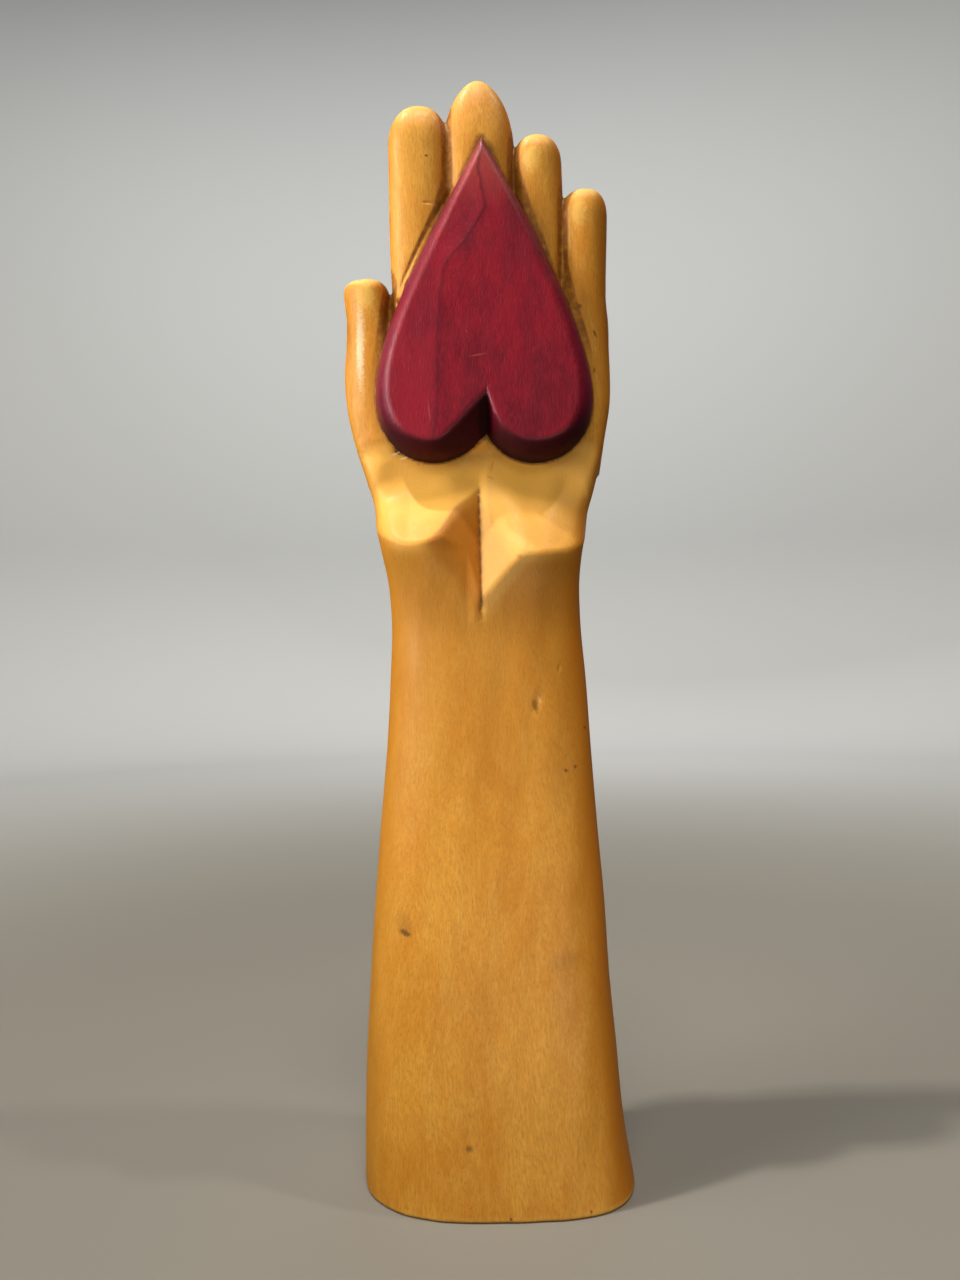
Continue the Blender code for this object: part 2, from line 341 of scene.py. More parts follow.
def outline_distance(x, z, outline):
    """Distance from each (x, z) to the closed outline, below zero inside it: the least distance
    to any side, and the sign from how many sides a line towards +x crosses."""
    nearest = np.full(np.broadcast(x, z).shape, np.inf)
    inside = np.zeros(nearest.shape, bool)
    for (ax, az), (bx, bz) in zip(outline, np.roll(outline, -1, axis=0)):
        dx, dz = bx - ax, bz - az
        t = np.clip(((x - ax) * dx + (z - az) * dz) / (dx * dx + dz * dz), 0, 1)
        nearest = np.minimum(nearest, (x - ax - t * dx) ** 2 + (z - az - t * dz) ** 2)
        crossed = ((az > z) != (bz > z)) & (x < ax + (z - az) * dx / (dz or 1e-12))
        inside ^= crossed
    return np.where(inside, -1, 1) * np.sqrt(nearest)


def ramp(value, start, end):
    """A smooth step from 0 at the start to 1 at the end: three times the square less twice the
    cube of the way between them."""
    t = np.clip((value - start) / (end - start), 0, 1)
    return t * t * (3 - 2 * t)


def seam_distance(x, z):
    """How far each (x, z) lies to the little finger's side of the seam on the heart's face."""
    heights, places = np.array(SEAM).T
    return x - np.interp(z, heights, places)


def heart_field(x, y, z, edge):
    """The heart in relief: a prism over its outline whose rim is a quarter of a superellipse, as
    high as the heart stands proud there. The flat face leans back to the apex, and a little more
    on the thumb side of the seam. A V is cut out between the lobes."""
    share = (z - HEART_LOBE_LEFT[1]) / (HEART_APEX[1] - HEART_LOBE_LEFT[1])
    face = HEART_FRONT_AT_LOBES + (HEART_FRONT_AT_APEX - HEART_FRONT_AT_LOBES) * share
    height = PALM_FRONT - face
    width = height * (HEART_BEVEL_AT_LOBES + (HEART_BEVEL_AT_APEX - HEART_BEVEL_AT_LOBES) * share)
    power = BEVEL_POWER_AT_LOBES + (BEVEL_POWER_AT_APEX - BEVEL_POWER_AT_LOBES) * np.clip(share, 0, 1)
    face = face + SEAM_LEAN * np.maximum(-seam_distance(x, z), 0)
    inwards = np.maximum(1 + edge / width, 0)
    below = np.maximum(1 - (y - face) / height, 0)
    reach, slope_in, slope_y = superellipse(inwards, below, power, width, height)
    rim = (reach - 1) / np.maximum(np.hypot(slope_in, slope_y), 1e-3)
    heart = np.maximum(rim, y - BACK + HEART_END)
    aside = x - CLEFT_MIDDLE
    rise = np.where(aside < 0, CLEFT_RISE_LEFT, CLEFT_RISE_RIGHT)
    bottom = face + CLEFT_LEAN * (CLEFT_TOP - z)
    cleft = (y - bottom + rise * np.abs(aside)) / np.sqrt(1 + rise**2 + CLEFT_LEAN**2)
    return cut_by(heart, cleft, CLEFT_EDGE)


def hollow_field(x, y, z):
    """The hollow: below zero in front of a floor that goes back from the ridge of the heel as a
    ramp, steeper on the thumb side, and is joined smoothly to the plane of the palm."""
    ridge = RIDGE_LEFT + (RIDGE_RIGHT - RIDGE_LEFT) * ramp(x, *RIDGE_STEP)
    past_left = np.maximum(RIDGE_LEFT_END - x, 0)
    ridge = ridge + RIDGE_LEFT_RISE * past_left**2 / (past_left + RIDGE_BEND)
    across = np.minimum(np.abs(x - FRONT_MIDDLE) / FRONT_HALF_WIDTH, WIDEST_SHARE)
    section = (1 - across**FRONT_SQUARENESS) ** (1 / FRONT_SQUARENESS)
    foot = FRONT_CENTRE - FRONT_HALF_DEPTH * section
    rise = RAMP_LEFT + (RAMP_RIGHT - RAMP_LEFT) * ramp(x, *RAMP_STEP)
    floor = joined(foot + rise * (z - ridge), PALM_FLOOR + 0 * z, PALM_BLEND)
    floor = floor - HOLLOW_CLEARANCE * ramp(z, *CLEARED_HEIGHTS)
    return (y - floor) / np.hypot(1, rise)


def hollow_edge(x, z):
    """How far the edge of the hollow is rounded: little along the ridge of the heel and the thumb
    side of the V, more on its other side, and much up both sides of the hand."""
    aside = np.maximum(ramp(-x, *THUMB_SIDE), ramp(x, *LITTLE_SIDE)) * ramp(z, *SIDE_HEIGHTS)
    beside_cut = ramp(x, *BESIDE_CUT) * ramp(z, *BESIDE_CUT_HEIGHTS)
    return RIDGE_EDGE + (HOLLOW_EDGE - RIDGE_EDGE) * aside + CUT_TOP_EDGE * beside_cut * (1 - aside)


def cut_field(x, y, z):
    """The V cut: below zero in front of two walls that meet on the bottom line, up to its top."""
    bottom = CUT_FOOT[0] + (z - CUT_FOOT[1]) * CUT_LEAN
    aside = x - CUT_MIDDLE
    rise = np.where(aside < 0, CUT_RISE_LEFT, CUT_RISE_RIGHT)
    cut = (y - bottom + np.abs(aside) * rise) / np.sqrt(1 + rise**2 + CUT_LEAN**2)
    return -joined(-cut, CUT_TOP - z, CUT_TOP_BLEND)


def front_marks(x, y, z, edge):
    """How deep the knife and later knocks went below the front surface: a channel that follows
    the heart's upper sides at the lip's width, and a bell-shaped dent for each mark."""
    beside = np.exp(-(((edge - LIP_WIDTH) / CHANNEL_WIDTH) ** 2))
    left = ramp(z, *CHANNEL_STARTS_LEFT) * (1 - ramp(z, *CHANNEL_ENDS_LEFT))
    right = ramp(z, *CHANNEL_STARTS_RIGHT) * (1 - ramp(z, *CHANNEL_ENDS_RIGHT))
    stretch = np.where(x < 0, left, CHANNEL_SHARE_RIGHT * right)
    depth = CHANNEL_DEPTH * beside * stretch
    for centre, height, half_width, half_height, deep, lean in DENTS.values():
        up = z - height
        depth = depth + deep * np.exp(-(((x - centre - lean * up) / half_width) ** 2)
                                      - (up / half_height) ** 2)
    return depth * ramp(-y, -BACK + MARKS_END, -BACK + MARKS_FULL)


def hand_wave(x, y, z):
    """The slight unevenness of a surface that was shaped with a knife: a sum of slow waves."""
    wave = np.sin(310 * x + 41 * z) * np.cos(270 * y - 66 * z)
    wave = wave + 0.7 * np.sin(520 * x - 93 * z + 1.3) + 0.6 * np.sin(133 * z + 240 * y + 0.4)
    return WAVE_HEIGHT * wave


def hand_field(x, y, z, edge):
    """The carving without its heart: arm and fingers joined, the V cut and the hollow taken out,
    and the knife marks pressed in."""
    body = arm_field(x, y, z)
    if z.max() > LOWEST_FINGER - ROOT_BLEND:
        fingers = None
        for sizes in FINGERS.values():
            finger = finger_field(x, y, z, *sizes)
            fingers = finger if fingers is None else joined(fingers, finger, FINGER_CREASE)
        body = joined(body, fingers, ROOT_BLEND)
    if z.max() > CUT_FOOT[1] - BELOW_CUT:
        higher = ramp(z, *CUT_EDGE_TURN)
        left_edge = CUT_EDGE_LEFT_LOW + (CUT_EDGE_LEFT_HIGH - CUT_EDGE_LEFT_LOW) * higher
        leftwards = ramp(CUT_MIDDLE - x, 0, CUT_EDGE_SPREAD)
        edge_width = CUT_EDGE_RIGHT + (left_edge - CUT_EDGE_RIGHT) * leftwards
        body = cut_by(body, cut_field(x, y, z), edge_width)
        body = cut_by(body, hollow_field(x, y, z), hollow_edge(x, z))
    return body + hand_wave(x, y, z) + front_marks(x, y, z, edge)


def wood_field(x, y, z):
    """The whole carving: the heart joined to the hand, and both sawn off flat below."""
    edge = outline_distance(x, z, OUTLINE)
    body = hand_field(x, y, z, edge)
    if z.max() > HEART_LOBE_RIGHT[1] - HEART_EDGE:
        body = joined(body, heart_field(x, y, z, edge), HEART_EDGE)
    return cut_by(body, z + 0 * x, SAWN_EDGE)


OUTLINE = heart_outline()


def sampled_field(low, high):
    """The field on a grid of cells over the box, worked out a slab of heights at a time."""
    counts = [int(math.ceil((b - a) / CELL)) + 5 for a, b in zip(low, high)]
    x, y, z = (a - 2 * CELL + CELL * np.arange(n) for a, n in zip(low, counts))
    values = np.empty(counts, np.float32)
    for start in range(0, counts[2], SLAB):
        part = z[start:start + SLAB]
        values[:, :, start:start + SLAB] = wood_field(
            x[:, None, None], y[None, :, None], part[None, None, :])
    return values, np.array([x[0], y[0], z[0]])


def net_of(values, origin):
    """The zero surface as quads: one point in each cell that the surface passes through, at the
    mean of where it crosses the cell's edges, and one quad for each grid edge that it crosses."""
    inside = values < 0
    corner_count = np.zeros([n - 1 for n in values.shape], np.uint8)
    corners = [(i, j, k) for i in (0, 1) for j in (0, 1) for k in (0, 1)]
    for i, j, k in corners:
        nx, ny, nz = corner_count.shape
        corner_count += inside[i:i + nx, j:j + ny, k:k + nz]
    cells = np.argwhere((corner_count > 0) & (corner_count < 8))
    index = np.full(corner_count.shape, -1, np.int32)
    index[tuple(cells.T)] = np.arange(len(cells))
    at_corner = {c: values[tuple((cells + c).T)].astype(np.float64) for c in corners}
    total, hits = np.zeros((len(cells), 3)), np.zeros(len(cells))
    for c in corners:
        for axis in range(3):
            if c[axis]:
                continue
            d = tuple(v + (n == axis) for n, v in enumerate(c))
            a, b = at_corner[c], at_corner[d]
            crossed = (a < 0) != (b < 0)
            t = np.where(crossed, a / np.where(crossed, a - b, 1), 0)
            point = np.array(c, float) + t[:, None] * (np.arange(3) == axis)
            total += point * crossed[:, None]
            hits += crossed
    points = origin + CELL * (cells + total / hits[:, None])
    quads = []
    for axis in range(3):
        one, two = (axis + 1) % 3, (axis + 2) % 3
        ahead = np.roll(inside, -1, axis)
        changed = inside != ahead
        changed[tuple(slice(-1, None) if n == axis else slice(None) for n in range(3))] = False
        edges = np.argwhere(changed)
        around = []
        for a, b in ((0, 0), (1, 0), (1, 1), (0, 1)):
            cell = edges.copy()
            cell[:, one] -= a
            cell[:, two] -= b
            around.append(index[tuple(cell.T)])
        quad = np.stack(around, axis=1)
        outwards = inside[tuple(edges.T)]
        quads.append(np.where(outwards[:, None], quad, quad[:, ::-1]))
    return points, np.concatenate(quads)


def gradient(points, step=0.15 * MM):
    """The field at each point and the direction in which it grows, by central differences."""
    x, y, z = points.T
    slopes = []
    for dx, dy, dz in np.eye(3) * step:
        ahead = wood_field(x + dx, y + dy, z + dz)
        behind = wood_field(x - dx, y - dy, z - dz)
        slopes.append((ahead - behind) / (2 * step))
    return np.stack(slopes, axis=1)


def on_surface(points):
    """The points moved on to the zero surface: each one steps against the slope of the field by
    the field over that slope, at most half a cell."""
    slope = gradient(points)
    value = wood_field(*points.T)
    step = value[:, None] * slope / np.maximum((slope**2).sum(axis=1), 0.25)[:, None]
    length = np.linalg.norm(step, axis=1, keepdims=True)
    return points - step * np.minimum(1, CELL / 2 / np.maximum(length, 1e-9))


def mesh_object(name, points, faces):
    mesh = bpy.data.meshes.new(name)
    mesh.from_pydata(points, [], faces)
    mesh.validate()
    obj = bpy.data.objects.new(name, mesh)
    bpy.context.scene.collection.objects.link(obj)
    return obj


def thinned(obj, most):
    """The object's mesh with at most that many triangles, fewest where it is flattest."""
    obj.data.calc_loop_triangles()
    count = len(obj.data.loop_triangles)
    if count <= most:
        return
    modifier = obj.modifiers.new("thin", "DECIMATE")
    modifier.ratio = most / count
    modifier.use_collapse_triangulate = True
    graph = bpy.context.evaluated_depsgraph_get()
    mesh = bpy.data.meshes.new_from_object(obj.evaluated_get(graph))
    obj.modifiers.clear()
    old = obj.data
    obj.data = mesh
    bpy.data.meshes.remove(old)
    mesh.name = obj.name


def vertices_of(mesh):
    points = np.empty(len(mesh.vertices) * 3)
    mesh.vertices.foreach_get("co", points)
    return points.reshape(-1, 3)


def add_values(mesh, name, values):
    layer = mesh.attributes.new(name, "FLOAT", "POINT")
    layer.data.foreach_set("value", np.asarray(values, np.float32))


def shade(at, normals, depth):
    """How hollow the surface is at each point, from 0 on a flat or bulging one to 1 deep in a
    crease: how far the field falls short of the distance gone, straight out of the surface."""
    return np.clip(1 - wood_field(*(at + depth * normals).T) / depth, 0, 1)


def carving():
    """The carved arm as one closed mesh, with the values that its finish reads."""
    low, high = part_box(NODE)
    points, quads = net_of(*sampled_field(low, high))
    points = on_surface(points)
    points[:, 2] = np.maximum(points[:, 2], 0)
    obj = mesh_object("carved_wood", points, quads)
    thinned(obj, MOST_TRIANGLES)
    mesh = obj.data
    mesh.shade_smooth()
    at = vertices_of(mesh)
    slope = gradient(at)
    normals = slope / np.linalg.norm(slope, axis=1, keepdims=True)
    mesh.normals_split_custom_set_from_vertices(normals)
    front = at[:, 1] < BACK - HAND_THICKNESS / 2
    edge = outline_distance(at[:, 0], at[:, 2], OUTLINE)
    add_values(mesh, "heart_edge", np.where(front, edge, 1.0))
    proud = hand_field(*at.T, edge) - heart_field(*at.T, edge)
    proud = np.clip(proud, -HEART_REACH, HEART_REACH)
    add_values(mesh, "heart", np.where(front, proud, -HEART_REACH))
    add_values(mesh, "seam", seam_distance(at[:, 0], at[:, 2]))
    add_values(mesh, "crease", shade(at, normals, CREASE_REACH))
    add_values(mesh, "hollow", shade(at, normals, HOLLOW_REACH))
    inside = wood_field(*(at - RIDGE_REACH * normals).T)
    add_values(mesh, "ridge", np.clip(1 + inside / RIDGE_REACH, 0, 1))
    add_values(mesh, "sideways", normals[:, 0])
    add_values(mesh, "downwards", -normals[:, 2])
    aside, height = at[:, 0] - CUT_MIDDLE, at[:, 2]
    lower = 1 - ramp(height, *CUT_EDGE_TURN)
    reach = CUT_REACH_HIGH + (CUT_REACH_LOW - CUT_REACH_HIGH) * lower
    on_cut = ramp(-np.abs(cut_field(*at.T)) / reach, -1, -0.15)
    on_cut = on_cut * ramp(-height, -CUT_TOP, -CUT_PAINT_TOP)
    add_values(mesh, "cut_wall", on_cut * np.sign(aside))
    in_bottom = np.exp(-((aside / CUT_LINE_WIDTH) ** 2)) * ramp(height, *CUT_LINE_FOOT) * front
    below_top = 1 - ramp(height, *CUT_LINE_TOP)
    add_values(mesh, "cut_line", in_bottom * below_top * (edge > 0))
    on_floor = ramp(-np.abs(hollow_field(*at.T)), -SCOOP_REACH, -SCOOP_FULL)
    on_floor = on_floor * (1 - ramp(height, *SCOOP_TOP))
    add_values(mesh, "scoop", on_floor * (edge > 0))
    return obj


COLOUR_A, COLOUR_B, COLOUR_OUT = 6, 7, 2


def add(tree, kind, inputs=(), **settings):
    """A new node with its settings. Each input is a plain value or another node's output."""
    made = tree.nodes.new("ShaderNode" + kind)
    for name, value in settings.items():
        setattr(made, name, value)
    for name, value in dict(inputs).items():
        if isinstance(value, bpy.types.NodeSocket):
            tree.links.new(value, made.inputs[name])
        else:
            made.inputs[name].default_value = value
    return made


def sum_up(tree, operation, a, b=0.0, c=0.0, clamp=False):
    inputs = {0: a, 1: b, 2: c}
    return add(tree, "Math", inputs, operation=operation, use_clamp=clamp).outputs[0]


def times(tree, a, b):
    return sum_up(tree, "MULTIPLY", a, b)


def vector_sum(tree, operation, a, b):
    return add(tree, "VectorMath", {0: a, 1: b}, operation=operation).outputs[0]


def fade(tree, value, start, end, low=0.0, high=1.0):
    """The value turned into a smooth step from low at the start to high at the end."""
    inputs = {"Value": value, "From Min": start, "From Max": end, "To Min": low, "To Max": high}
    return add(tree, "MapRange", inputs, interpolation_type="SMOOTHSTEP").outputs["Result"]


def blend_colours(tree, factor, a, b):
    inputs = {0: factor, COLOUR_A: a, COLOUR_B: b}
    made = add(tree, "Mix", inputs, data_type="RGBA", clamp_factor=True)
    return made.outputs[COLOUR_OUT]


def layered(tree, colour, layers):
    """The colour with each further one laid over it in turn, as thick as its mask."""
    for mask, paint in layers:
        colour = blend_colours(tree, mask, colour, (*paint, 1))
    return colour


def noise(tree, where, scale=1.0, detail=2.0, roughness=0.5):
    inputs = {"Vector": where, "Scale": scale, "Detail": detail, "Roughness": roughness}
    return add(tree, "TexNoise", inputs).outputs["Fac"]


def around_zero(tree, where, scale):
    """A rough noise that swings about zero, to fray an edge."""
    return sum_up(tree, "SUBTRACT", noise(tree, where, scale, 2.0, 0.6), 0.5)


def stretched(tree, where, sizes, turn=0.0):
    """The place in units of the sizes given, after a turn about the depth axis."""
    inputs = {"Vector": where, "Rotation": (0.0, turn, 0.0), "Scale": [1 / size for size in sizes]}
    return add(tree, "Mapping", inputs, vector_type="POINT").outputs[0]


def new_group(name, inputs, outputs):
    """A node group with named sockets, and its input and output nodes. Each input is given as its
    socket's kind and its default value."""
    group = bpy.data.node_groups.new(name, "ShaderNodeTree")
    for label, (kind, value) in inputs.items():
        socket = group.interface.new_socket(label, in_out="INPUT", socket_type="NodeSocket" + kind)
        if value is not None:
            socket.default_value = value
    for label in outputs:
        group.interface.new_socket(label, in_out="OUTPUT", socket_type="NodeSocketFloat")
    return group, group.nodes.new("NodeGroupInput").outputs, group.nodes.new("NodeGroupOutput").inputs


def use_group(tree, group, inputs):
    made = tree.nodes.new("ShaderNodeGroup")
    made.node_tree = group
    for name, value in inputs.items():
        if isinstance(value, bpy.types.NodeSocket):
            tree.links.new(value, made.inputs[name])
        else:
            made.inputs[name].default_value = value
    return made.outputs


def grain_group():
    """Close straight grain that runs up the arm: fine fibres, short dark pores and a silky figure
    that lies aslant. Thickness is a fibre's width in metres."""
    group, given, out = new_group(
        "close_grain", {"Place": ("Vector", None), "Thickness": ("Float", 0.0006)},
        ("Fibres", "Pores", "Figure"))
    place = given["Place"]
    slow = {"Vector": stretched(group, place, (0.02, 0.02, 0.06)), "Scale": 1.0, "Detail": 1.0}
    drift = add(group, "TexNoise", slow).outputs["Color"]
    drift = vector_sum(group, "SUBTRACT", drift, (0.5, 0.5, 0.5))
    drift = vector_sum(group, "MULTIPLY", drift, (0.010, 0.010, 0.0))
    place = vector_sum(group, "ADD", place, drift)
    scale = sum_up(group, "DIVIDE", 1.0, given["Thickness"])
    along = add(group, "Mapping", {"Vector": place, "Scale": (1.0, 1.0, 0.11)}).outputs[0]
    group.links.new(noise(group, along, scale, 3.0, 0.62), out["Fibres"])
    slant = {"Vector": place, "Rotation": (0.0, 0.10, 0.0), "Scale": (1.0, 1.0, 0.26)}
    short = add(group, "Mapping", slant).outputs[0]
    pores = noise(group, short, times(group, scale, 1.25), 1.0, 0.6)
    group.links.new(fade(group, pores, 0.50, 0.70), out["Pores"])
    figure = noise(group, stretched(group, place, (0.0035, 0.006, 0.011), 0.35), 1.0, 3.0, 0.6)
    group.links.new(figure, out["Figure"])
    return group


def spot_group():
    """A soft round or long spot: 1 at its centre and 0 outside its radii. The rim, a noise around
    zero, frays its edge."""
    group, given, out = new_group(
        "spot", {"Place": ("Vector", None), "Centre": ("Vector", None), "Radii": ("Vector", None),
                 "Lean": ("Float", 0.0), "Rim": ("Float", 0.0)}, ("Mask",))
    away = vector_sum(group, "SUBTRACT", given["Place"], given["Centre"])
    turn = {"Vector": away, "Axis": (0.0, 1.0, 0.0), "Angle": given["Lean"]}
    turned = add(group, "VectorRotate", turn, rotation_type="AXIS_ANGLE").outputs[0]
    share = vector_sum(group, "DIVIDE", turned, given["Radii"])
    length = add(group, "VectorMath", {0: share}, operation="LENGTH").outputs["Value"]
    group.links.new(fade(group, sum_up(group, "ADD", length, given["Rim"]), 1.0, 0.25), out["Mask"])
    return group


# The black is painted shade in the holes and the notch, the honey is painted light on the finger tips,
# and the pale one also serves as a painted highlight on the thumb's edge
BROWN = (0.070, 0.022, 0.006, 1)
PAINTED_SHADE_BLACK = (0.012, 0.005, 0.002, 1)
PALE = (0.92, 0.70, 0.42, 1)
ROSE = (0.42, 0.085, 0.060, 1)
RUST = (0.58, 0.150, 0.040, 1)
PAINTED_LIGHT_HONEY = (1.00, 0.62, 0.140, 1)

# Small marks on the wood: x, height, half width, half height, strength, lean in radians, colour
WOOD_MARKS = {
    "knot": (-0.0279, 0.0826, 0.0026, 0.0014, 0.75, -0.3, BROWN),
    "smear above the knot": (-0.0284, 0.0850, 0.0040, 0.0050, 0.20, 0.2, BROWN),
    "low knot": (-0.0091, 0.0213, 0.0015, 0.0014, 0.60, 0.0, BROWN),
    "soft blotch": (0.0217, 0.0742, 0.0075, 0.0040, 0.16, 0.3, BROWN),
    "first pinhole": (0.0241, 0.1316, 0.0008, 0.0008, 0.72, 0.0, BROWN),
    "second pinhole": (0.0273, 0.1326, 0.0007, 0.0008, 0.72, 0.0, BROWN),
    "third pinhole": (0.0312, 0.1446, 0.0007, 0.0007, 0.70, 0.0, BROWN),
    "scar": (0.0149, 0.1522, 0.0013, 0.0032, 0.50, 0.3, BROWN),
    "light edge of the scar": (0.0162, 0.1545, 0.0006, 0.0020, 0.25, 0.3, PALE),
    "left dot on the sawn edge": (0.0030, 0.0014, 0.0006, 0.0007, 0.75, 0.0, BROWN),
    "right dot on the sawn edge": (0.0271, 0.0018, 0.0006, 0.0007, 0.75, 0.0, BROWN),
    "dot on the index finger": (-0.0175, 0.3428, 0.0007, 0.0006, 0.85, 0.0, BROWN),
    # painted shade: black in the notch and the two holes beside the thumb
    "painted shade in the notch between ring and little finger": (0.0298, 0.3262, 0.0012, 0.0026, 0.80, 0.0, PAINTED_SHADE_BLACK),
    "painted shade in the upper hole beside the thumb": (-0.0319, 0.2935, 0.0011, 0.0018, 0.90, 0.0, PAINTED_SHADE_BLACK),
    "painted shade in the lower hole beside the thumb": (-0.0315, 0.2843, 0.0009, 0.0018, 0.85, 0.0, PAINTED_SHADE_BLACK),
    # painted highlight: a pale streak down the thumb's left edge
    "painted highlight on the thumb's edge": (-0.0426, 0.2760, 0.0028, 0.0240, 0.75, -0.02, PALE),
    # painted light: paler honey on the tips of the thumb, ring and little fingers
    "painted light on the thumb's tip": (-0.0405, 0.2950, 0.0060, 0.0070, 0.50, 0.0, PAINTED_LIGHT_HONEY),
    "painted light on the ring finger's tip": (0.0172, 0.3415, 0.0060, 0.0080, 0.55, 0.0, PAINTED_LIGHT_HONEY),
    "painted light on the little finger's tip": (0.0342, 0.3225, 0.0055, 0.0080, 0.45, 0.0, PAINTED_LIGHT_HONEY),
    "red corner of the thumb": (-0.0465, 0.2955, 0.0016, 0.0034, 0.60, 0.0, RUST),
    "upper knock right of the heart": (0.0347, 0.2893, 0.0009, 0.0012, 0.70, 0.4, BROWN),
    "middle knock right of the heart": (0.0400, 0.2798, 0.0009, 0.0024, 0.70, 0.5, BROWN),
    "lower knock right of the heart": (0.0394, 0.2670, 0.0007, 0.0013, 0.60, 0.0, BROWN),
    "bruise on the left corner": (-0.0170, 0.2057, 0.0014, 0.0011, 0.60, 0.0, RUST),
    "bruise on the right corner": (0.0107, 0.2008, 0.0014, 0.0011, 0.55, 0.0, RUST),
    "splinter": (-0.0300, 0.2395, 0.0030, 0.0005, 0.95, 0.50, PALE),
    "short splinter": (-0.0276, 0.2376, 0.0019, 0.0004, 0.85, 0.30, PALE),
    "crack below the cleft": (0.0029, 0.2338, 0.0004, 0.0034, 0.45, -0.20, RUST),
    "end of the crack": (0.0022, 0.2299, 0.0004, 0.0021, 0.45, 0.95, RUST),
}

# The same for marks on the stained heart
HEART_MARKS = {
    "scratch on the heart": (-0.0010, 0.2697, 0.0036, 0.0004, 0.55, 0.16, ROSE),
    "pale streak on the heart": (-0.0178, 0.2504, 0.0004, 0.0045, 0.50, 0.06, ROSE),
}


def with_marks(tree, colour, marks, spot_nodes, place, rim):
    """The colour with a spot for each mark laid over it. A spot reaches through the whole arm, so
    the rim has to be high behind to keep it off the back."""
    for x, z, half_width, half_height, strength, lean, tint in marks.values():
        spot = use_group(tree, spot_nodes, {
            "Place": place, "Centre": (x, -BACK / 2, z), "Lean": lean, "Rim": rim,
            "Radii": (half_width, 1.0, half_height)})["Mask"]
        colour = blend_colours(tree, times(tree, spot, strength), colour, tint)
    return colour


def bare_wood_and_painted_light(tree, place, up, grain, value):
    """Pale wood with its grain, with painted shade darker round the wrist below the heel and painted
    light paler on the upward-facing finger tips.
    """
    broad = noise(tree, stretched(tree, place, (0.022, 0.022, 0.050)), 1.0, 2.0, 0.5)
    # painted shade: darker round the wrist, below the heel's ridge
    wrist = times(tree, fade(tree, up, 0.085, 0.185, 0.0, 0.50), fade(tree, up, 0.222, 0.205))
    # painted light: paler on upward-facing surfaces near the finger tips
    upwards = fade(tree, value["downwards"], -0.20, -0.80, 0.0, 0.50)
    tips = times(tree, upwards, fade(tree, up, 0.27, 0.28))
    return layered(tree, (0.70, 0.275, 0.020, 1), (
        (fade(tree, broad, 0.34, 0.66), (0.80, 0.36, 0.040)),
        (fade(tree, grain["Figure"], 0.35, 0.70, 0.0, 0.30), (0.90, 0.49, 0.085)),
        (fade(tree, grain["Fibres"], 0.42, 0.62, 0.26, 0.0), (0.50, 0.17, 0.010)),
        (times(tree, grain["Pores"], 0.25), (0.36, 0.12, 0.012)),
        (wrist, (0.42, 0.15, 0.008)),
        (tips, (1.0, 0.68, 0.18)),
    ))


def varnish(tree, place, up, value, colour):
    """The colour under its varnish, with painted light paler in the scooped hollow and on the V's right
    wall, painted shade browner on the sides, on the V's left wall, in hollows and creases, between the
    fingers and along the V's bottom, dark along the heart and worn pale on the ridges."""
    scoop = times(tree, value["scoop"], fade(tree, up, 0.212, 0.222, 0.45, 0.85))
    patchy = fade(tree, noise(tree, place, 420.0, 3.0, 0.6), 0.30, 0.62, 0.45, 1.0)
    hollows = fade(tree, value["hollow"], 0.13, 0.42, 0.0, 0.90)
    between_fingers = times(tree, hollows, fade(tree, up, 0.262, 0.285))
    beside_heart = fade(tree, value["heart_edge"], 0.0011, 0.0002, 0.0, 0.75)
    return layered(tree, colour, (
        # painted light: paler in the scooped hollow, most below the heart
        (scoop, (0.96, 0.49, 0.082)),
        # painted shade: browner on the sides of the arm, deepest on the little finger's side
        (fade(tree, value["sideways"], 0.25, 0.85, 0.0, 0.82), (0.52, 0.152, 0.003)),
        (fade(tree, value["sideways"], -0.45, -1.0, 0.0, 0.45), (0.62, 0.22, 0.008)),
        # painted shade darkens the V's left wall and painted light brightens its right wall
        (fade(tree, value["cut_wall"], 0.0, -1.0, 0.0, 0.75), (0.42, 0.135, 0.005)),
        (fade(tree, value["cut_wall"], 0.0, 1.0, 0.0, 0.30), (0.95, 0.58, 0.16)),
        # painted shade: darker in hollows, between the fingers, in creases and along the bottom of the V
        (fade(tree, value["hollow"], 0.15, 0.75, 0.0, 0.40), (0.56, 0.21, 0.012)),
        (times(tree, between_fingers, patchy), (0.27, 0.085, 0.008)),
        (fade(tree, value["crease"], 0.25, 0.85, 0.0, 0.75), (0.16, 0.050, 0.006)),
        (times(tree, value["cut_line"], patchy), (0.13, 0.040, 0.005)),
        (times(tree, beside_heart, patchy), (0.20, 0.065, 0.008)),
        (fade(tree, value["ridge"], 0.30, 0.80, 0.0, 0.30), (0.95, 0.60, 0.16)),
    ))


